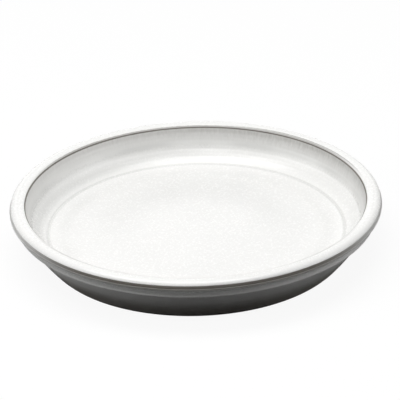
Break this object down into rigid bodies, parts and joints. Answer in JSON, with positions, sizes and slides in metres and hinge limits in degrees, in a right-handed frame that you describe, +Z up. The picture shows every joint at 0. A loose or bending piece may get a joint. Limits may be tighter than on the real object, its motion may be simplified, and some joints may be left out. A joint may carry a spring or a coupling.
{
  "type": "plant saucer",
  "caption": "Shallow round glazed stoneware saucer with a broad rounded rim, a set-in collar, a tapered wall and a foot ring, for catching water under a plant pot.",
  "frame": {"origin": "middle of the foot, on the plane that the saucer stands on", "axes": "+Z up through the middle of the saucer, +X to the right and +Y away as the picture shows it"},
  "size_m": [0.21, 0.21, 0.0308],
  "materials": {
    "stoneware": "bare fired clay",
    "white_glaze": "satin gloss"
  },
  "bodies": {
    "root": {"stoneware_body": "stoneware", "inside_glaze": "white_glaze", "rim_glaze": "white_glaze", "outside_glaze": "white_glaze", "underside_glaze": "white_glaze"}
  },
  "joints": []
}
